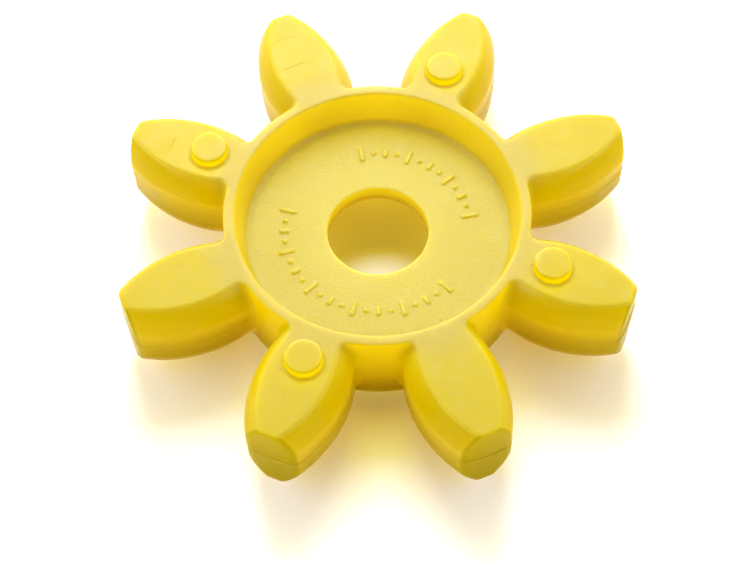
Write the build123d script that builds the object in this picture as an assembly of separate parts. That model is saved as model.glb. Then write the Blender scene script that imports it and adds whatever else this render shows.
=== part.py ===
"""Elastomer spider of an eight-leg jaw coupling: one moulded star of polyurethane.

The part is a short ring with a thin web across its middle and eight crowned legs
around it. The jaws of two metal hubs, four from each side, fill the eight pockets
between the legs. Small round pips, on alternate legs above and below, keep the hubs
off the legs. It is poured in a two-half mould, so a thin ridge of flash runs all
round it at mid-height.

Frame: millimetres, origin on the turning axis at mid-height, +Z along that axis.
"""
import os

from build123d import *

# The whole star
OUTER_RADIUS = 60.0       # over the leg tips
BODY_HEIGHT = 22.0        # between the two flat faces
LEG_COUNT = 8
FIRST_LEG_ANGLE = 22.5    # a pocket, not a leg, lies on +X

# Legs: each is the lens that two barrels share
LEG_CENTRE = 44.4         # from the turning axis to the widest place of a leg
LEG_HALF_WIDTH = 6.92     # at the flat faces
FLANK_RADIUS = 26.8       # of a flank seen from above, at the flat faces
FLANK_CROWN = 3.3         # how much the barrels gain at mid-height
NECK_FILLET = 2.0         # between a flank and the ring

# Ring, recesses and web
RING_RADIUS = 34.4
RECESS_MOUTH_RADIUS = 32.0
RECESS_FLOOR_RADIUS = 30.1
WEB_THICKNESS = 4.4
HOLE_RADIUS = 11.5
RECESS_CORNER = 0.8       # fillet between a recess wall and the web

# Pips
PIP_CENTRE = 41.2         # from the turning axis
PIP_HEIGHT = 2.6
PIP_TOP_RADIUS = 3.85
PIP_DRAFT = 0.15          # how much wider a pip is at its foot
PIP_ROUNDING = 0.35

# Mould marks
EDGE_ROUNDING = 0.4       # on the rims of the flat faces
FLASH_REACH = 0.25        # how far the flash stands out at mid-height
FLASH_THICKNESS = 0.35

# Raised graduation marks on the upper side of the web
MARK_CIRCLE = 21.2
MARK_HEIGHT = 0.35
MARK_WIDTH = 0.8
LONG_MARK = 3.6
SHORT_MARK = 2.0
MARK_PITCH = 7.5          # degrees from one mark to the next
MARK_ARCS = ((10.0, 13), (165.0, 21))    # first angle in degrees, number of marks

HALF_HEIGHT = BODY_HEIGHT / 2
HALF_WEB = WEB_THICKNESS / 2
RECESS_DEPTH = HALF_HEIGHT - HALF_WEB
LEG_PITCH = 360 / LEG_COUNT


def barrel(radius, crown, height):
    """A solid of revolution about Z whose wall bulges by crown at mid-height."""
    half = height / 2
    foot = (radius, -half)
    rim = (radius, half)
    if crown:
        wall = ThreePointArc(foot, (radius + crown, 0), rim)
    else:
        wall = Line(foot, rim)
    outline = wall + Line(rim, (0, half)) + Line((0, half), (0, -half)) + Line((0, -half), foot)
    return revolve(Plane.XZ * make_face(outline), Axis.Z)


def leg(radius, crown, height):
    """One leg on +X: the lens shared by two barrels that lie side by side."""
    flank = barrel(radius, crown, height)
    offset = FLANK_RADIUS - LEG_HALF_WIDTH
    left = Pos(LEG_CENTRE, -offset, 0) * flank
    right = Pos(LEG_CENTRE, offset, 0) * flank
    return left & right


def star(grow, flank_radius, crown, height):
    """Ring and legs without the recesses, each outline moved out by grow."""
    ring_radius = RING_RADIUS + grow
    solid = Cylinder(ring_radius, height)
    one_leg = leg(flank_radius + grow, crown, height)
    for k in range(LEG_COUNT):
        solid += Rot(0, 0, FIRST_LEG_ANGLE + k * LEG_PITCH) * one_leg
    solid &= Cylinder(OUTER_RADIUS + grow, height)
    necks = [edge for edge in solid.edges() if is_neck(edge, ring_radius, height)]
    return fillet(necks, NECK_FILLET - grow)


def is_neck(edge, ring_radius, height):
    """True for the edges where the flanks run into the ring, from face to face."""
    size = edge.bounding_box().size
    middle = edge @ 0.5
    reach = (middle.X ** 2 + middle.Y ** 2) ** 0.5
    return size.Z > 0.9 * height and abs(reach - ring_radius) < 0.1


def is_rim(edge):
    """True for the edges that lie in one of the two flat faces."""
    box = edge.bounding_box()
    return box.size.Z < 0.01 and abs(abs(box.center().Z) - HALF_HEIGHT) < 0.01


def recess():
    """The drafted dish cut into the upper side, down to the web."""
    dish = Cone(RECESS_FLOOR_RADIUS, RECESS_MOUTH_RADIUS, RECESS_DEPTH)
    floor_edge = dish.edges().sort_by(Axis.Z)[0]
    dish = fillet(floor_edge, RECESS_CORNER)
    return Pos(0, 0, HALF_WEB + RECESS_DEPTH / 2) * dish


def pip():
    """One pip, standing on z = 0, with a rounded top edge."""
    button = Cone(PIP_TOP_RADIUS + PIP_DRAFT, PIP_TOP_RADIUS, PIP_HEIGHT)
    top_edge = button.edges().group_by(Axis.Z)[-1]
    button = fillet(top_edge, PIP_ROUNDING)
    return Pos(0, 0, PIP_HEIGHT / 2) * button


def pips():
    """Pips on alternate legs: the lower face has the odd ones, the upper the even ones."""
    upper = Pos(PIP_CENTRE, 0, HALF_HEIGHT) * pip()
    lower = Rot(180, 0, 0) * upper
    buttons = []
    for k in range(LEG_COUNT):
        turn = Rot(0, 0, FIRST_LEG_ANGLE + k * LEG_PITCH)
        buttons.append(turn * (upper if k % 2 else lower))
    return buttons


def marks():
    """Raised strokes on the web, like plain graduations: long, dot, short, dot."""
    strokes = []
    for first_angle, count in MARK_ARCS:
        for k in range(count):
            if k % 2:
                outline = Circle(MARK_WIDTH / 2)
            else:
                length = SHORT_MARK if k % 4 else LONG_MARK
                outline = SlotOverall(length, MARK_WIDTH)
            place = Rot(0, 0, first_angle + k * MARK_PITCH) * Pos(MARK_CIRCLE, 0, HALF_WEB)
            strokes.append(place * extrude(outline, MARK_HEIGHT))
    return strokes


def spider():
    """The whole moulding as one solid."""
    body = star(0, FLANK_RADIUS, FLANK_CROWN, BODY_HEIGHT)
    flash = star(FLASH_REACH, FLANK_RADIUS + FLANK_CROWN, 0, FLASH_THICKNESS)
    dish = recess()
    body -= dish
    body -= Rot(180, 0, 0) * dish
    body -= Cylinder(HOLE_RADIUS, BODY_HEIGHT)
    rims = [edge for edge in body.edges() if is_rim(edge)]
    body = fillet(rims, EDGE_ROUNDING)
    flash -= Cylinder(RING_RADIUS - 1, BODY_HEIGHT)
    body += flash
    for button in pips():
        body += button
    for stroke in marks():
        body += stroke
    return body


os.makedirs("parts", exist_ok=True)
whole = spider()
whole.label = "spider"
export_step(whole, "parts/spider.step")
print("volume in cubic centimetres:", round(whole.volume / 1000, 2))
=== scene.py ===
"""Looks of the jaw coupling spider: one yellow polyurethane moulding on a white table.

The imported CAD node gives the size. The moulding is built here again as one dense closed
mesh: crowned legs, rounded rims, the flash left where the two mould halves meet, filleted
pips, and a faintly wavy skin. It stands for the CAD node and fills the same box.
"""
import math

import bpy
import numpy as np
from mathutils import Matrix, Vector, geometry, noise


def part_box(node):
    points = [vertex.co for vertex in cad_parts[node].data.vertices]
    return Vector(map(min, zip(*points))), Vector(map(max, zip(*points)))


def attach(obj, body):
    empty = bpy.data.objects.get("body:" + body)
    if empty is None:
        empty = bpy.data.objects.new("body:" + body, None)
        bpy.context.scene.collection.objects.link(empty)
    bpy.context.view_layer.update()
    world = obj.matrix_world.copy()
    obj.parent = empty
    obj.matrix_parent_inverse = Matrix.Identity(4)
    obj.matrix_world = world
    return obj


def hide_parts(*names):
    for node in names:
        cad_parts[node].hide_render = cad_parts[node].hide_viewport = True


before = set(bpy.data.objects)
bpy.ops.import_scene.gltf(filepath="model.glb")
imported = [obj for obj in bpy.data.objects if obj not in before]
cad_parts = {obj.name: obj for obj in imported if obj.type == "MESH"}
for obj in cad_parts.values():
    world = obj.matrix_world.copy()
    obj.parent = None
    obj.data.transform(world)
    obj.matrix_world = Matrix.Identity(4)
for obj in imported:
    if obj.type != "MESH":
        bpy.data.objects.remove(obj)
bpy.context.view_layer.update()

# ------------------------------------------------------------------ sizes, millimetres
MM = 0.001
LOW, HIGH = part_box("spider")
PIP_TOP = HIGH.z / MM                 # the upper pips are the highest thing there is

LEGS = 8
LEG_PITCH = 2 * math.pi / LEGS
FIRST_LEG = LEG_PITCH / 2             # a pocket lies on +X
OUTER_RADIUS = 60.0
PIP_HEIGHT = 2.6
HALF_HEIGHT = PIP_TOP - PIP_HEIGHT

LEG_CENTRE = 44.4
FLANK_RADIUS = 26.8                   # in plan, at the flat faces
LEG_HALF_WIDTH = 6.92                 # at the flat faces
FLANK_OFFSET = FLANK_RADIUS - LEG_HALF_WIDTH
FLANK_CROWN = 3.3
FLANK_LAND = 4.6                      # up and down from mid-height the crown stays full
LAND_CREASE = 0.35                    # share of the crown that falls off straight from there
NECK_FILLET = 2.0
FLANK_DRIFT = 0.7                     # the fullest place lies nearer the axis at mid-height
TIP_CORNER = 1.5
TIP_SOFTENING = 1.2                   # how much rounder the tip's corners are at mid-height

RING_RADIUS = 34.4
RECESS_MOUTH = 32.0
RECESS_FLOOR = 30.1
HALF_WEB = 2.2
HOLE_RADIUS = 11.5
RECESS_CORNER = 1.6
RIM_ROUNDING = 0.5
HOLE_ROUNDING = 0.3

FLASH_REACH = 0.36                    # before it was trimmed
FLASH_HALF = 0.16                     # half its thickness
FLASH_UNEVEN = 0.3                    # share by which its reach varies
FLASH_WAVES = 0.3                     # how quickly it varies, per millimetre
NOISE_LAYER = 4.0                     # the layer of the noise that it follows
POCKET_FLASH = 0.03                   # share of the reach that is left in the pockets
FLANK_FLASH = 0.09                    # more of it along the flanks
TIP_FLASH = 0.45                      # share that is left at the tips
TIP_BAND = 0.4                        # within this of the outer radius a point is on a tip
FLANK_FROM = 37.0                     # the flash grows over this stretch of a flank
FLANK_STRETCH = 14.0
MOULD_SHIFT = (-0.12, 0.04)           # how far the upper mould half sat off the lower one

PIP_CENTRE = 41.2
PIP_RADIUS = 4.12
PIP_FOOT = 0.8
PIP_ROUNDING = 0.35
PIP_DRAFT = 0.05                      # how much a pip narrows per millimetre of height

MARK_CIRCLE = 21.2
MARK_HEIGHT = 0.35
MARK_WIDTH = 0.8
LONG_MARK = 3.6
SHORT_MARK = 2.0
MARK_PITCH = 7.5                      # degrees from one mark to the next
MARK_ARCS = ((10.0, 13), (165.0, 21))    # first angle in degrees, number of marks
MARK_EDGE = ((0.3, 0.0), (0.06, 0.6), (-0.16, 1.0))    # growth in plan, share of the height

WAVES = ((9.0, 0.06), (2.6, 0.018))   # size and depth of the unevenness of the skin
FACE_GRID = 0.58                      # spacing of the points inside a flat face
WEB_GRID = 0.62
OFF_OUTLINE = 0.55                    # share of the spacing that a point keeps off an outline
OFF_BUMP = 0.4                        # and off the outline of a bump

# How finely curves and walls are cut, in points or steps
RING_STEPS, NECK_STEPS, FLANK_STEPS, CORNER_STEPS, TIP_STEPS = 5, 7, 30, 8, 7    # half a leg
RIM_STEPS = 4
FILLET_STEPS = 7
HOLE_RIM_STEPS = 3
PIP_RIM_STEPS = 5
FLANK_LEVELS = 8                      # from the rim down to where the crown is full
LAND_LEVELS = 5                       # from there down to the flash
LAND_GAP = 0.2
FLASH_SECTION = ((1, 0.25), (0.5, 0.9), (0, 1.0))    # height and reach, as shares
RECESS_LEVELS = 8
HOLE_LEVELS = 4
PIP_LEVELS = 4
RECESS_POINTS = 384
HOLE_POINTS = 192
PIP_POINTS = 64
PIP_TOP_RINGS = (0.85, 0.68, 0.51, 0.34, 0.17)    # shares of the flat top's radius
BAR_END_POINTS = 7
DOT_POINTS = 12


# ------------------------------------------------------------------ plan of the star
def unit(angle):
    """Points on the unit circle."""
    return np.stack([np.cos(angle), np.sin(angle)], -1)


def angle_of(vector):
    return math.atan2(vector[1], vector[0])


def meeting(centre, radius, from_origin):
    """Where a circle round centre meets one of radius from_origin round the axis, both points."""
    distance = np.hypot(*centre)
    along = (from_origin ** 2 - radius ** 2 + distance ** 2) / (2 * distance)
    across = math.sqrt(from_origin ** 2 - along ** 2)
    forward = centre / distance
    left = np.array([-forward[1], forward[0]])
    return along * forward + across * left, along * forward - across * left


def sweep(start, stop, steps):
    """Evenly spaced angles from start to stop, without stop itself."""
    return np.linspace(start, stop, steps, endpoint=False)


def half_leg(height, inset):
    """One side of a leg on +X, from the middle of the pocket to the middle of the tip.

    height is above mid-height, and inset moves the whole outline inwards.
    """
    over = max(abs(height) - FLANK_LAND, 0) / (HALF_HEIGHT - FLANK_LAND)
    bulge = -FLANK_CROWN * (LAND_CREASE * over + (1 - LAND_CREASE) * over ** 2)
    flank = FLANK_RADIUS + FLANK_CROWN + bulge - inset
    fullness = 1 + bulge / FLANK_CROWN
    centre = np.array([LEG_CENTRE - FLANK_DRIFT * fullness, -FLANK_OFFSET])
    ring = RING_RADIUS - inset
    tip = OUTER_RADIUS - inset
    fillet = NECK_FILLET + inset
    corner = TIP_CORNER + TIP_SOFTENING * fullness - inset
    neck = max(meeting(centre, flank + fillet, ring + fillet), key=lambda p: p[1])
    edge = max(meeting(centre, flank - corner, tip - corner), key=lambda p: p[1])
    to_ring = angle_of(neck)
    to_flank = angle_of(neck - centre)
    along_ring = sweep(LEG_PITCH / 2, to_ring, RING_STEPS)
    along_neck = sweep(to_ring - math.pi, to_flank - math.pi, NECK_STEPS)
    along_flank = sweep(to_flank, angle_of(edge - centre), FLANK_STEPS)
    along_edge = sweep(angle_of(edge - centre), angle_of(edge), CORNER_STEPS)
    along_tip = np.linspace(angle_of(edge), 0, TIP_STEPS + 1)
    return np.concatenate([
        ring * unit(along_ring),
        neck + fillet * unit(along_neck),
        centre + flank * unit(along_flank),
        edge + corner * unit(along_edge),
        tip * unit(along_tip),
    ])


def star(height, inset):
    """The closed outline of the whole star at a height, anticlockwise."""
    side = half_leg(height, inset)
    other = side[1:-1] * (1, -1)
    sector = np.concatenate([other, side[::-1]])
    turns = [FIRST_LEG + k * LEG_PITCH for k in range(LEGS)]
    return np.concatenate([sector @ rotation(turn).T for turn in turns])


def rotation(angle):
    c, s = math.cos(angle), math.sin(angle)
    return np.array([[c, -s], [s, c]])


def circle(radius, count, centre=(0, 0)):
    return np.array(centre) + radius * unit(np.arange(count) * 2 * math.pi / count)


def slot_outline(length, width, place, turn):
    """A bar with round ends, or a dot where length equals width, anticlockwise."""
    half = (length - width) / 2
    if half:
        arc = np.linspace(-math.pi / 2, math.pi / 2, BAR_END_POINTS)
        right = np.array([half, 0]) + width / 2 * unit(arc)
        left = np.array([-half, 0]) + width / 2 * unit(arc + math.pi)
        outline = np.concatenate([right, left])
    else:
        outline = circle(width / 2, DOT_POINTS)
    return np.array(place) + outline @ rotation(turn).T


# ------------------------------------------------------------------ mesh
class Skin:
    """Vertices and faces of the moulding while it is being put together."""

    def __init__(self):
        self.points = []
        self.faces = []

    def add(self, plan, height):
        """Adds points of a plan at a height, or at one height each; returns their numbers."""
        first = len(self.points)
        heights = np.broadcast_to(height, len(plan))
        self.points += [(p[0], p[1], h) for p, h in zip(plan, heights)]
        return list(range(first, len(self.points)))

    def bridge(self, lower, upper):
        """Quads between two closed loops of equal length, facing right of lower to upper."""
        count = len(lower)
        for i in range(count):
            j = (i + 1) % count
            self.faces.append((lower[i], lower[j], upper[j], upper[i]))

    def strip(self, loops):
        for lower, upper in zip(loops, loops[1:]):
            self.bridge(lower, upper)


def inside(points, outline):
    """True for each point that lies inside a closed outline."""
    x, y = points[:, 0, None], points[:, 1, None]
    x0, y0 = outline[:, 0], outline[:, 1]
    x1, y1 = np.roll(x0, -1), np.roll(y0, -1)
    crosses = (y0 > y) != (y1 > y)
    reach = x0 + (y - y0) * (x1 - x0) / np.where(y1 == y0, 1e-12, y1 - y0)
    return (crosses & (x < reach)).sum(1) % 2 == 1


def clearance(points, outline):
    """Distance from each point to the nearest corner of an outline."""
    best = np.full(len(points), np.inf)
    for start in range(0, len(outline), 64):
        part = outline[start:start + 64]
        gap = np.hypot(points[:, 0, None] - part[:, 0], points[:, 1, None] - part[:, 1])
        best = np.minimum(best, gap.min(1))
    return best


def hex_grid(reach, pitch):
    """An even triangular grid of points over a square of half-side reach."""
    rows = np.arange(-reach, reach, pitch * math.sqrt(3) / 2)
    grid = []
    for k, y in enumerate(rows):
        x = np.arange(-reach, reach, pitch) + (k % 2) * pitch / 2
        grid.append(np.stack([x, np.full_like(x, y)], -1))
    return np.concatenate(grid)


def fill(skin, outer, holes, bumps, height, pitch, up):
    """Fills a flat face between an outer loop and holes with an even grid of triangles.

    Each loop is (numbers, plan). bumps are (plan, raised) loops for shapes that stand
    proud of the face: what lies on or inside such a loop is lifted by raised.
    """
    loops = [outer, *holes]
    plan = [p for _, loop in loops for p in loop]
    numbers = [n for given, _ in loops for n in given]
    constraints = []
    start = 0
    for _, loop in loops:
        constraints += ring_edges(start, len(loop))
        start += len(loop)
    for loop, raised in bumps:
        constraints += ring_edges(start, len(loop))
        plan += list(loop)
        numbers += skin.add(loop, height + (raised if up else -raised))
        start += len(loop)
    grid = hex_grid(np.abs(outer[1]).max(), pitch)
    grid = grid[inside(grid, outer[1]) & (clearance(grid, outer[1]) > OFF_OUTLINE * pitch)]
    for _, loop in holes:
        grid = grid[~inside(grid, loop) & (clearance(grid, loop) > OFF_OUTLINE * pitch)]
    lift = np.zeros(len(grid))
    keep = np.ones(len(grid), bool)
    for loop, raised in bumps:
        near = clearance(grid, loop) < OFF_BUMP * pitch
        keep &= ~near
        lift[inside(grid, loop)] = raised
    grid, lift = grid[keep], lift[keep]
    numbers += skin.add(grid, height + (lift if up else -lift))
    plan += list(grid)
    vectors = [Vector((float(p[0]), float(p[1]))) for p in plan]
    found = geometry.delaunay_2d_cdt(vectors, constraints, [], 0, 1e-7)
    places, _, triangles, origins = found[:4]
    centres = np.array([sum((places[i] for i in t), Vector((0, 0))) / 3 for t in triangles])
    good = inside(centres, outer[1])
    for _, loop in holes:
        good &= ~inside(centres, loop)
    for triangle, ok in zip(triangles, good):
        if ok:
            corners = [numbers[origins[i][0]] for i in triangle]
            skin.faces.append(tuple(corners if up else corners[::-1]))


def ring_edges(start, count):
    return [(start + i, start + (i + 1) % count) for i in range(count)]


def quarter(steps):
    """Angles round a rounding, from the flat face (90 degrees) down to the wall (0)."""
    return [math.pi / 2 * (1 - k / steps) for k in range(steps + 1)]


def outer_wall(skin):
    """The wall all round the star, with rounded rims and the flash at mid-height.

    Returns the loops in the lower and upper flat faces, with their plans.
    """
    half = HALF_HEIGHT
    levels = []
    for a in quarter(RIM_STEPS):
        drop = RIM_ROUNDING * (1 - math.sin(a))
        inset = RIM_ROUNDING * (1 - math.cos(a))
        levels.append((half - drop, inset, 0))
    above = np.linspace(half - RIM_ROUNDING, FLANK_LAND, FLANK_LEVELS)[1:]
    below = np.linspace(FLANK_LAND - LAND_GAP, 2 * FLASH_HALF, LAND_LEVELS)
    levels += [(z, 0, 0) for z in (*above, *below)]
    levels += [(FLASH_HALF * up, 0, reach) for up, reach in FLASH_SECTION]
    levels += [(-z, inset, flash) for z, inset, flash in levels[-2::-1]]
    plans = []
    loops = []
    for z, inset, flash in levels[::-1]:
        plan = star(z, inset)
        if flash:
            grown = star(z, -FLASH_REACH)
            share = flash * flash_profile(plan)
            plan = plan + (grown - plan) * share[:, None]
        side = min(max(z / (2 * FLASH_HALF), -1), 1)
        plan = plan + side * np.array(MOULD_SHIFT) / 2
        loops.append(skin.add(plan, z))
        plans.append(plan)
    skin.strip(loops)
    return (loops[0], plans[0]), (loops[-1], plans[-1])


def flash_profile(plan):
    """How far the flash comes out along the outline: most at the tips, least in the pockets."""
    share = []
    for x, y in plan:
        reach = math.hypot(x, y)
        along = min(max((reach - FLANK_FROM) / FLANK_STRETCH, 0), 1)
        trimmed = POCKET_FLASH + FLANK_FLASH * along
        share.append(TIP_FLASH if reach > OUTER_RADIUS - TIP_BAND else trimmed)
    places = [Vector((x * FLASH_WAVES, y * FLASH_WAVES, NOISE_LAYER)) for x, y in plan]
    uneven = np.array([noise.noise(place) for place in places])
    return np.array(share) * (1 + FLASH_UNEVEN * uneven)


def recess(skin, side):
    """One recess wall from the flat face down to the web; returns its two end loops."""
    depth = HALF_HEIGHT - HALF_WEB
    slope = (RECESS_MOUTH - RECESS_FLOOR) / depth
    section = []
    for a in quarter(RIM_STEPS):
        rounding = RIM_ROUNDING * (1 - math.cos(a))
        drop = RIM_ROUNDING * (1 - math.sin(a))
        section.append((RECESS_MOUTH + rounding - slope * drop, HALF_HEIGHT - drop))
    first, last = HALF_HEIGHT - RIM_ROUNDING, HALF_WEB + RECESS_CORNER
    for z in np.linspace(first, last, RECESS_LEVELS)[1:]:
        section.append((RECESS_FLOOR + slope * (z - HALF_WEB), z))
    for a in quarter(FILLET_STEPS)[::-1][1:]:
        inward = RECESS_CORNER * (1 - math.cos(a))
        z = HALF_WEB + RECESS_CORNER * (1 - math.sin(a))
        section.append((RECESS_FLOOR + slope * (z - HALF_WEB) - inward, z))
    loops = [skin.add(circle(r, RECESS_POINTS), side * z) for r, z in section]
    skin.strip(loops[::-1] if side < 0 else loops)
    mouth = (loops[0], circle(section[0][0], RECESS_POINTS))
    foot = (loops[-1], circle(section[-1][0], RECESS_POINTS))
    return mouth, foot


def hole(skin):
    """The wall of the hole through the web; returns its lower and upper loops."""
    section = []
    for a in quarter(HOLE_RIM_STEPS):
        lift = HOLE_ROUNDING * (1 - math.sin(a))
        section.append((HOLE_RADIUS + HOLE_ROUNDING * (1 - math.cos(a)), HALF_WEB - lift))
    down = np.linspace(HALF_WEB - HOLE_ROUNDING, 0, HOLE_LEVELS)[1:]
    section += [(HOLE_RADIUS, z) for z in down]
    section += [(r, -z) for r, z in section[-2::-1]]
    loops = [skin.add(circle(r, HOLE_POINTS), z) for r, z in section]
    skin.strip(loops)
    rim = circle(section[0][0], HOLE_POINTS)
    return (loops[-1], rim), (loops[0], rim)


def pip(skin, centre, side):
    """One pip with a filleted foot and a rounded top; returns its foot loop."""
    section = []
    for a in quarter(FILLET_STEPS):
        reach = PIP_FOOT * (1 - math.cos(a))
        section.append((PIP_RADIUS + reach, PIP_FOOT * (1 - math.sin(a))))
    for h in np.linspace(PIP_FOOT, PIP_HEIGHT - PIP_ROUNDING, PIP_LEVELS)[1:]:
        section.append((PIP_RADIUS - PIP_DRAFT * h, h))
    top_radius = section[-1][0]
    for a in quarter(PIP_RIM_STEPS)[::-1][1:]:
        inward = PIP_ROUNDING * (1 - math.cos(a))
        section.append((top_radius - inward, PIP_HEIGHT - PIP_ROUNDING * (1 - math.sin(a))))
    flat = section[-1][0]
    section += [(flat * share, PIP_HEIGHT) for share in PIP_TOP_RINGS]
    loops = []
    for r, h in section:
        loops.append(skin.add(circle(r, PIP_POINTS, centre), side * (HALF_HEIGHT + h)))
    skin.strip(loops if side > 0 else loops[::-1])
    middle = skin.add(np.array([centre]), side * (HALF_HEIGHT + PIP_HEIGHT))[0]
    last = loops[-1]
    for pair in ring_edges(0, PIP_POINTS):
        near, far = pair if side > 0 else pair[::-1]
        skin.faces.append((last[near], last[far], middle))
    return loops[0], circle(section[0][0], PIP_POINTS, centre)


def marks():
    """Outlines of the raised graduation marks: each as nested loops with their lifts."""
    nested = []
    for first, count in MARK_ARCS:
        for k in range(count):
            turn = math.radians(first + k * MARK_PITCH)
            length = MARK_WIDTH if k % 2 else (SHORT_MARK if k % 4 else LONG_MARK)
            place = MARK_CIRCLE * unit(turn)
            for grow, lift in MARK_EDGE:
                loop = slot_outline(length + grow, MARK_WIDTH + grow, place, turn)
                nested.append((loop, lift * MARK_HEIGHT))
    return nested


def weathered(mesh):
    """Lets the skin rise and sink a little, as a moulding's skin does when it cools."""
    for vertex, normal in zip(mesh.vertices, mesh.vertex_normals):
        place = vertex.co / MM
        swell = sum(depth * noise.noise(place / size) for size, depth in WAVES)
        vertex.co += normal.vector * swell * MM


def moulding():
    """The whole closed mesh, in metres."""
    skin = Skin()
    lower_rim, upper_rim = outer_wall(skin)
    hole_loops = hole(skin)
    for side, rim, hole_rim in ((1, upper_rim, hole_loops[1]), (-1, lower_rim, hole_loops[0])):
        mouth, foot = recess(skin, side)
        feet = []
        for k in range(LEGS):
            if (k % 2 == 1) == (side > 0):
                centre = PIP_CENTRE * unit(FIRST_LEG + k * LEG_PITCH)
                feet.append(pip(skin, centre, side))
        up = side > 0
        fill(skin, rim, [mouth, *feet], [], side * HALF_HEIGHT, FACE_GRID, up)
        raised = marks() if up else []
        fill(skin, foot, [hole_rim], raised, side * HALF_WEB, WEB_GRID, up)
    mesh = bpy.data.meshes.new("spider_moulding")
    mesh.from_pydata([tuple(c * MM for c in p) for p in skin.points], [], skin.faces)
    mesh.validate()
    weathered(mesh)
    mesh.polygons.foreach_set("use_smooth", [True] * len(mesh.polygons))
    piece = bpy.data.objects.new("spider_moulding", mesh)
    bpy.context.scene.collection.objects.link(piece)
    return piece


# ------------------------------------------------------------------ materials
def node(tree, kind, inputs=None, **settings):
    """Adds a shader node, sets its properties and its inputs' values, and returns it."""
    made = tree.nodes.new("ShaderNode" + kind)
    for name, value in settings.items():
        setattr(made, name, value)
    for name, value in (inputs or {}).items():
        if isinstance(value, bpy.types.NodeSocket):
            tree.links.new(value, made.inputs[name])
        else:
            made.inputs[name].default_value = value
    return made


def math_node(tree, operation, a, b=0.0, c=0.0):
    """A Math node; returns its result."""
    return node(tree, "Math", {0: a, 1: b, 2: c}, operation=operation).outputs[0]


def ramp(tree, value, low, high, start=0.0, end=1.0):
    """A clamped map of value from low..high to start..end, smoothed at both ends."""
    inputs = {0: value, 1: low, 2: high, 3: start, 4: end}
    return node(tree, "MapRange", inputs, interpolation_type="SMOOTHSTEP").outputs[0]


def noise_node(tree, place, size, detail=2.0, roughness=0.5):
    """Noise whose lumps are about size millimetres across; returns its value."""
    inputs = {
        "Vector": place,
        "Scale": 1 / (size * MM),
        "Detail": detail,
        "Roughness": roughness,
    }
    return node(tree, "TexNoise", inputs).outputs[0]


def facing_up(tree):
    """How far the surface faces up, -1 to 1."""
    normal = node(tree, "NewGeometry").outputs["True Normal"]
    return node(tree, "SeparateXYZ", {0: normal}).outputs[2]


def mix_colour(tree, share, first, second):
    made = node(tree, "Mix", {0: share, 6: first, 7: second}, data_type="RGBA")
    return made.outputs[2]


def new_material(name):
    material = bpy.data.materials.new(name)
    material.use_nodes = True
    material.node_tree.nodes.clear()
    return material, material.node_tree


# Colours of the skin: walls, then the flat faces of the ring, legs and web, paler as a painted
# sheen
YELLOW = (0.42, 0.35, 0.001, 1)
DEEP_YELLOW = (0.41, 0.335, 0.001, 1)
PAINTED_SHEEN = (0.455, 0.405, 0.08, 1)
OUTER_PAINTED_SHEEN = (0.50, 0.432, 0.014, 1)
WEB_PAINTED_SHEEN = (0.52, 0.475, 0.075, 1)
# Colours of the light from inside: high and low on the legs, then by place, as lit and shaded
# copies that paint light and shade
GLOW = (0.80, 0.61, 0.001, 1)
LOW_SHADED_GLOW = (0.32, 0.22, 0.001, 1)
RECESS_LIT_GLOW = (0.78, 0.62, 0.001, 1)
RING_GLOW = (0.64, 0.47, 0.001, 1)
PIP_FOOT_LIT_GLOW = (0.88, 0.66, 0.001, 1)
PIP_TOP_SHADED_GLOW = (0.42, 0.33, 0.001, 1)
TIP_SHADED_GLOW = (0.29, 0.195, 0.001, 1)
UNDER_WEB_SHADED_GLOW = (0.36, 0.18, 0.001, 1)
# How light passes and reflects
GLOW_SHARE = 0.42
SKIN_PASS = 0.7                       # share of a lamp's light that the skin lets in
WEB_PASS = 0.22
PIP_PASS = 1.25                       # over 1: it also stands for light scattered in a pip
ABSORPTION = (52.0, 76.0, 900.0)      # red, green and blue, per metre of body
WALL_GLOSS = 0.09
FACE_GLOSS = 0.24
TIP_DULLING = 0.7                     # share of the gloss that the leg tips lack
WALL_ROUGHNESS = (0.12, 0.2)          # from the smoothest spots to the roughest
FACE_ROUGHNESS = (0.38, 0.5)
SCATTER_REACH = 4.0                   # millimetres
SCATTER_SHARES = (1.0, 0.85, 0.08)    # of that reach, red, green and blue
# Wear and dirt on the skin, with painted glints, a painted shadow along the seam and a paler tint
# inside the recess
SCUFF_AND_GLINT = (0.56, 0.52, 0.14, 1)
# dark colour for dirt in the scratches and for the painted shadow under the flash
SCRATCH_DIRT_AND_SEAM_SHADE = (0.16, 0.11, 0.01, 1)
SPECK = (0.12, 0.08, 0.01, 1)
RECESS_TINT = (1, 1, 0.7, 1)
RECESS_TINT_SHARE = 0.03
MOTTLE_SHARE = 0.3
DUST_SHARE = 0.14
SCRATCH_SHARE = 0.2
SCRATCH_CORE = 0.05                   # millimetres off its line, up to here in full
SCRATCH_EDGE = 0.14                   # and gone from here on
LARGE_SPECKS = (4.2, 0.3, 0.3)        # spacing, reach and share, in speckle's order
SMALL_SPECKS = (2.3, 0.16, 0.2)
SCRATCHES = (                         # distance from the axis, bearing, half-spread
    (53.1, 114.3, 3.6),
    (44.8, 115.8, 4.6),
    (50.2, 158.4, 3.2),
)


def speckle(tree, place, pitch, reach, share):
    """Round specks on a loose grid: 1 inside one, 0 elsewhere; share of the cells have one."""
    cell = node(tree, "TexVoronoi", {"Vector": place, "Scale": 1 / (pitch * MM)})
    luck = node(tree, "SeparateXYZ", {0: cell.outputs["Color"]}).outputs[0]
    chosen = math_node(tree, "LESS_THAN", luck, share)
    edge = reach / pitch
    disc = ramp(tree, cell.outputs["Distance"], 0.6 * edge, edge, 1, 0)
    return math_node(tree, "MULTIPLY", disc, chosen)


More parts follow.
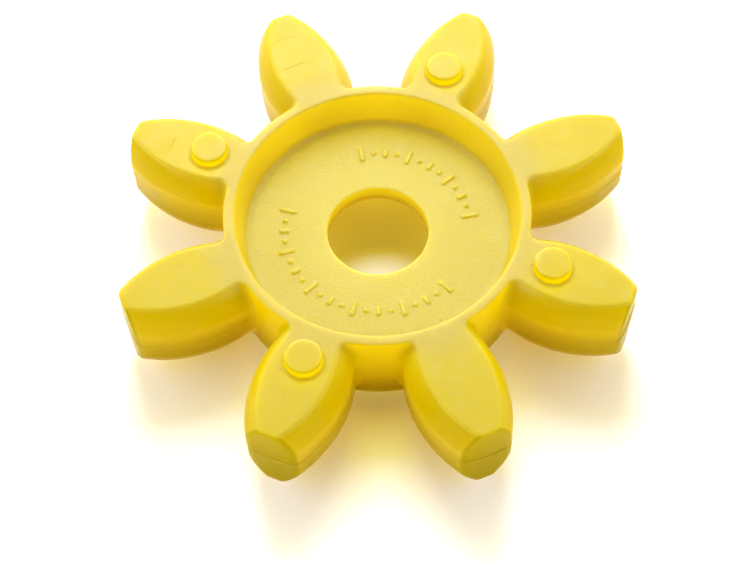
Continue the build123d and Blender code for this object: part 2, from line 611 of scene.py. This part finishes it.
def arc_scratch(tree, radius, angle, from_axis, bearing, spread):
    """A hair-thin arc on a flat face, round the axis: 1 on the line, fading at its ends."""
    off = math_node(tree, "ABSOLUTE", math_node(tree, "SUBTRACT", radius, from_axis * MM))
    line = ramp(tree, off, SCRATCH_CORE * MM, SCRATCH_EDGE * MM, 1, 0)
    turn = math_node(tree, "ABSOLUTE", math_node(tree, "SUBTRACT", angle, math.radians(bearing)))
    ends = ramp(tree, turn, math.radians(spread * 0.6), math.radians(spread), 1, 0)
    return math_node(tree, "MULTIPLY", line, ends)


def product(tree, *values):
    result = values[0]
    for value in values[1:]:
        result = math_node(tree, "MULTIPLY", result, value)
    return result


LEAST_POWER, MOST_POWER = -80.0, 50.0    # of e, within what a shader number holds
WALL_UNTIL, FLAT_FROM = 0.45, 0.92    # how far a surface faces up or down, 0 to 1
WEB_SKIN = 0.6                        # millimetres past the web's faces that still count as web


def thinning(tree, reach, passing):
    """What is left of a lamp's light, per colour, after its way through the body.

    reach is measured from the lit point. Where the light's way enters the body from that
    side, the air before it is taken off again, so only the length inside counts. passing is
    the share that the skin itself lets through there.
    """
    leaving = node(tree, "NewGeometry").outputs["Backfacing"]
    signed = product(tree, reach, math_node(tree, "MULTIPLY_ADD", leaving, -2.0, 1.0))
    skin = math_node(tree, "MAXIMUM", leaving, passing)
    channels = []
    for per_metre in ABSORPTION:
        power = math_node(tree, "MINIMUM", product(tree, signed, per_metre), MOST_POWER)
        power = math_node(tree, "MAXIMUM", power, LEAST_POWER)
        left = math_node(tree, "EXPONENT", power)
        channels.append(product(tree, left, skin))
    return node(tree, "CombineColor", dict(enumerate(channels))).outputs[0]


class Where:
    """Shader values that tell where on the moulding a point lies."""

    def __init__(self, tree):
        self.place = node(tree, "TexCoord").outputs["Object"]
        x, y, self.z = node(tree, "SeparateXYZ", {0: self.place}).outputs
        squares = math_node(tree, "ADD", product(tree, x, x), product(tree, y, y))
        self.radius = math_node(tree, "SQRT", squares)
        self.bearing = math_node(tree, "ARCTAN2", y, x)
        self.height = math_node(tree, "ABSOLUTE", self.z)
        level = math_node(tree, "ABSOLUTE", facing_up(tree))
        self.flat = ramp(tree, level, WALL_UNTIL, FLAT_FROM)
        self.walls = math_node(tree, "SUBTRACT", 1.0, self.flat)
        self.on_web = math_node(tree, "LESS_THAN", self.height, (HALF_WEB + WEB_SKIN) * MM)
        first, last = OUTER_RADIUS - 0.9, OUTER_RADIUS - 0.3
        self.near_tip = ramp(tree, self.radius, first * MM, last * MM)
        first, last = HALF_HEIGHT + 0.05, HALF_HEIGHT + 0.2
        self.on_pip = ramp(tree, self.z, first * MM, last * MM)
        scratch = arc_scratch(tree, self.radius, self.bearing, *SCRATCHES[0])
        for one in SCRATCHES[1:]:
            other = arc_scratch(tree, self.radius, self.bearing, *one)
            scratch = math_node(tree, "MAXIMUM", scratch, other)
        self.scratch = scratch


def skin_colour(tree, at):
    """Yellow with a painted sheen that makes the flat faces paler, wear, a paler tint inside the
    recess, scratches, painted glints on the web, a painted shadow along the seam at the tips, and
    specks.
    """
    clouds = noise_node(tree, at.place, 14, 3)
    colour = mix_colour(tree, ramp(tree, clouds, 0.3, 0.7), YELLOW, DEEP_YELLOW)
    outer = ramp(tree, at.radius, RING_RADIUS * MM, (RING_RADIUS + 8) * MM)
    # painted sheen: the flat faces paler, whiter near the ring and on the web than out on the legs
    painted_sheen = mix_colour(tree, outer, PAINTED_SHEEN, OUTER_PAINTED_SHEEN)
    painted_sheen = mix_colour(tree, at.on_web, painted_sheen, WEB_PAINTED_SHEEN)
    colour = mix_colour(tree, at.flat, colour, painted_sheen)

    mottle = ramp(tree, noise_node(tree, at.place, 3.2, 5, 0.65), 0.5, 0.68)
    worn = ramp(tree, noise_node(tree, at.place, 30, 1), 0.42, 0.62)
    colour = mix_colour(tree, product(tree, mottle, worn, at.flat, MOTTLE_SHARE), colour, SCUFF_AND_GLINT)
    dusty = ramp(tree, noise_node(tree, at.place, 1.3, 5, 0.7), 0.42, 0.62)
    colour = mix_colour(tree, product(tree, dusty, at.flat, DUST_SHARE), colour, SCUFF_AND_GLINT)
    # pale spots on the web in the scuff colour: painted glints off its stipple
    painted_glints = ramp(tree, noise_node(tree, at.place, 0.9, 3, 0.7), 0.52, 0.64)
    skirt = ramp(tree, at.radius, 15 * MM, 27 * MM, 0.2, 0.6)
    colour = mix_colour(tree, product(tree, painted_glints, skirt, at.on_web, at.flat), colour, SCUFF_AND_GLINT)
    # everything inside the recess mouth a little paler
    within = math_node(tree, "LESS_THAN", at.radius, RECESS_MOUTH * MM)
    colour = mix_colour(tree, product(tree, within, RECESS_TINT_SHARE), colour, RECESS_TINT)

    drawn = product(tree, at.scratch, at.flat, SCRATCH_SHARE)
    colour = mix_colour(tree, drawn, colour, SCRATCH_DIRT_AND_SEAM_SHADE)
    # darker along the parting line, faint on the flanks and most at the tips: a painted shadow
    # under the flash
    seam_shade = ramp(tree, at.height, 0.1 * MM, 0.3 * MM, 1, 0)
    tip = ramp(tree, at.radius, 57 * MM, 59.4 * MM, 0.1, 0.5)
    broken = ramp(tree, noise_node(tree, at.place, 2, 3), 0.35, 0.6, 0.4, 1)
    outside = math_node(tree, "GREATER_THAN", at.radius, (RECESS_MOUTH + 1) * MM)
    colour = mix_colour(tree, product(tree, seam_shade, tip, broken, outside), colour, SCRATCH_DIRT_AND_SEAM_SHADE)
    large = speckle(tree, at.place, *LARGE_SPECKS)
    small = speckle(tree, at.place, *SMALL_SPECKS)
    specks = math_node(tree, "MAXIMUM", large, small)
    return mix_colour(tree, product(tree, specks, 0.75), colour, SPECK)


def skin_roughness(tree, at):
    """Smoother on the walls than on the flat faces."""
    uneven = noise_node(tree, at.place, 5, 4, 0.6)
    wall = ramp(tree, uneven, 0.3, 0.7, *WALL_ROUGHNESS)
    face = ramp(tree, uneven, 0.3, 0.7, *FACE_ROUGHNESS)
    return node(tree, "Mix", {0: at.flat, 2: wall, 3: face}).outputs[0]


def skin_gloss(tree, at):
    """How strongly the skin mirrors: most on the flat faces, least at the leg tips."""
    gloss = ramp(tree, at.flat, 0, 1, WALL_GLOSS, FACE_GLOSS)
    left = math_node(tree, "MULTIPLY_ADD", at.near_tip, -TIP_DULLING, 1.0)
    return product(tree, gloss, left)


def skin_relief(tree, at):
    """Fine grain all over, a stipple on the web, and the scratches."""
    grain = noise_node(tree, at.place, 0.45, 2)
    fine = node(tree, "Bump", {"Strength": 0.25, "Distance": 0.05 * MM, "Height": grain})
    stipple = product(tree, noise_node(tree, at.place, 0.7, 3, 0.7), at.on_web)
    coarse = node(tree, "Bump", {
        "Strength": 0.8,
        "Distance": 0.2 * MM,
        "Height": math_node(tree, "SUBTRACT", stipple, product(tree, at.scratch, 0.3)),
        "Normal": fine.outputs[0],
    })
    return coarse.outputs[0]


def glow_colour(tree, at):
    """The colour of the light that comes out of the body again, by place: painted shade low on the
    legs, at the tips, on the pip tops and under the web, and painted light on the recess walls and
    at the pip feet.
    """
    # painted shade: darker towards the bottom
    rise = ramp(tree, at.z, -HALF_HEIGHT * MM, HALF_HEIGHT * MM)
    glow = mix_colour(tree, rise, LOW_SHADED_GLOW, GLOW)
    first, last = RING_RADIUS + 0.5, RING_RADIUS + 6
    near_ring = ramp(tree, at.radius, first * MM, last * MM, 1, 0)
    glow = mix_colour(tree, product(tree, near_ring, at.walls), glow, RING_GLOW)

    # painted light low on the pip walls, painted shade up at their tops
    first, last = HALF_HEIGHT + 0.4 * PIP_HEIGHT, HALF_HEIGHT + 0.9 * PIP_HEIGHT
    up_pip = mix_colour(tree, ramp(tree, at.z, first * MM, last * MM), PIP_FOOT_LIT_GLOW, PIP_TOP_SHADED_GLOW)
    glow = mix_colour(tree, product(tree, at.on_pip, at.walls), glow, up_pip)
    # painted shade at the leg tips
    glow = mix_colour(tree, product(tree, at.near_tip, at.walls), glow, TIP_SHADED_GLOW)

    # painted light on the recess walls, painted shade under the web
    within = math_node(tree, "LESS_THAN", at.radius, (RECESS_MOUTH + 0.5) * MM)
    above_web = math_node(tree, "GREATER_THAN", at.z, (HALF_WEB - 0.3) * MM)
    below_web = ramp(tree, at.z, -HALF_WEB * MM, 0.2 * HALF_WEB * MM, 1, 0)
    recess_above_web = product(tree, within, above_web)
    glow = mix_colour(tree, product(tree, recess_above_web, at.walls), glow, RECESS_LIT_GLOW)
    return mix_colour(tree, product(tree, within, below_web), glow, UNDER_WEB_SHADED_GLOW)


def polyurethane():
    """Cast polyurethane: a skin with a soft gloss over a yellow body that light passes through."""
    material, tree = new_material("polyurethane_yellow")
    at = Where(tree)
    relief = skin_relief(tree, at)
    skin = node(tree, "BsdfPrincipled", {
        "Base Color": skin_colour(tree, at),
        "Roughness": skin_roughness(tree, at),
        "Specular IOR Level": skin_gloss(tree, at),
        "Subsurface Weight": 1.0,
        "Subsurface Radius": SCATTER_SHARES,
        "Subsurface Scale": SCATTER_REACH * MM,
        "Normal": relief,
    })
    inner = node(tree, "BsdfTranslucent", {"Color": glow_colour(tree, at), "Normal": relief})
    body = node(tree, "MixShader", {0: GLOW_SHARE, 1: skin.outputs[0], 2: inner.outputs[0]})

    path = node(tree, "LightPath").outputs
    web_face = product(tree, at.flat, at.on_web)
    passing = node(tree, "Mix", {0: web_face, 2: SKIN_PASS, 3: WEB_PASS}).outputs[0]
    passing = node(tree, "Mix", {0: at.on_pip, 2: passing, 3: PIP_PASS}).outputs[0]
    left = thinning(tree, path["Ray Length"], passing)
    through = node(tree, "BsdfTransparent", {"Color": left})
    shaders = {0: path["Is Shadow Ray"], 1: body.outputs[0], 2: through.outputs[0]}
    both = node(tree, "MixShader", shaders)
    output = node(tree, "OutputMaterial")
    tree.links.new(both.outputs[0], output.inputs["Surface"])
    return material


def table_paper():
    """The plain white surface that the part stands on."""
    material, tree = new_material("table_white")
    skin = node(tree, "BsdfPrincipled", {
        "Base Color": (0.80, 0.80, 0.80, 1),
        "Roughness": 0.7,
        "Specular IOR Level": 0.2,
    })
    output = node(tree, "OutputMaterial")
    tree.links.new(skin.outputs[0], output.inputs["Surface"])
    return material


# ------------------------------------------------------------------ stage, lights, camera
# in metres and, in LIGHTS, degrees
TABLE_HALF = 3.0
LIGHTS = (        # name, azimuth, elevation, distance, width, height, radiance
    ("key", -4, 47, 0.5, 0.28, 0.28, 18),
    ("window", 0, 27, 1.5, 3.0, 0.52, 3),
    ("left_screen", -90, 27, 1.5, 3.0, 0.52, 7.5),
    ("right_screen", 90, 27, 1.5, 3.0, 0.52, 6.0),
    ("front_screen", 180, 27, 1.5, 3.0, 0.52, 0.8),
)
SURROUNDINGS = 0.07
CAMERA_ELEVATION = math.radians(59.41)
CAMERA_AZIMUTH = math.radians(0.906)
CAMERA_ROLL = math.radians(-1.341)
CAMERA_DISTANCE = 369.7 * MM
CAMERA_TARGET = Vector((-0.61, -18.68, HALF_HEIGHT)) * MM
CAMERA_LENS = 81.73


def table():
    """A white table top under the part, far wider than the picture."""
    half = TABLE_HALF
    mesh = bpy.data.meshes.new("table")
    plan = ((-half, -half), (half, -half), (half, half), (-half, half))
    corners = [(x, y, LOW.z) for x, y in plan]
    mesh.from_pydata(corners, [], [(0, 1, 2, 3)])
    mesh.materials.append(table_paper())
    floor = bpy.data.objects.new("table", mesh)
    bpy.context.scene.collection.objects.link(floor)


def soft_light(name, azimuth, elevation, distance, width, height, radiance):
    """A soft box that faces the part; azimuth 0 is behind it, 90 on its right, in degrees."""
    a, e = math.radians(azimuth), math.radians(elevation)
    toward = Vector((math.sin(a) * math.cos(e), math.cos(a) * math.cos(e), math.sin(e)))
    light = bpy.data.lights.new(name, "AREA")
    light.shape = "RECTANGLE"
    light.size = width
    light.size_y = height
    light.energy = radiance * math.pi * width * height
    lamp = bpy.data.objects.new(name, light)
    facing = toward.to_track_quat("Z", "Y").to_matrix().to_4x4()
    lamp.matrix_world = Matrix.Translation(toward * distance) @ facing
    bpy.context.scene.collection.objects.link(lamp)


def surroundings(strength):
    """An even white light from the studio round it."""
    world = bpy.data.worlds.new("studio")
    world.use_nodes = True
    back = world.node_tree.nodes["Background"]
    back.inputs["Color"].default_value = (1, 1, 1, 1)
    back.inputs["Strength"].default_value = strength
    bpy.context.scene.world = world


def camera():
    """A long lens in front of and above the part, tilted a little."""
    flat = math.cos(CAMERA_ELEVATION)
    back = Vector((
        math.sin(CAMERA_AZIMUTH) * flat,
        -math.cos(CAMERA_AZIMUTH) * flat,
        math.sin(CAMERA_ELEVATION),
    ))
    right = Vector((0, 0, 1)).cross(back).normalized()
    up = back.cross(right)
    c, s = math.cos(CAMERA_ROLL), math.sin(CAMERA_ROLL)
    rolled_right = c * right + s * up
    rolled_up = c * up - s * right
    lens = bpy.data.cameras.new("camera")
    lens.lens = CAMERA_LENS
    lens.sensor_width = 36
    lens.clip_start = 0.01
    shot = bpy.data.objects.new("camera", lens)
    turn = Matrix((rolled_right, rolled_up, back)).transposed().to_4x4()
    shot.matrix_world = Matrix.Translation(CAMERA_TARGET + back * CAMERA_DISTANCE) @ turn
    bpy.context.scene.collection.objects.link(shot)
    bpy.context.scene.camera = shot


# ------------------------------------------------------------------ everything together
camera()
table()
for light in LIGHTS:
    soft_light(*light)
surroundings(SURROUNDINGS)
bpy.context.scene.view_settings.view_transform = "Standard"

piece = moulding()
piece.data.materials.append(polyurethane())
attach(piece, "root")
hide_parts("spider")
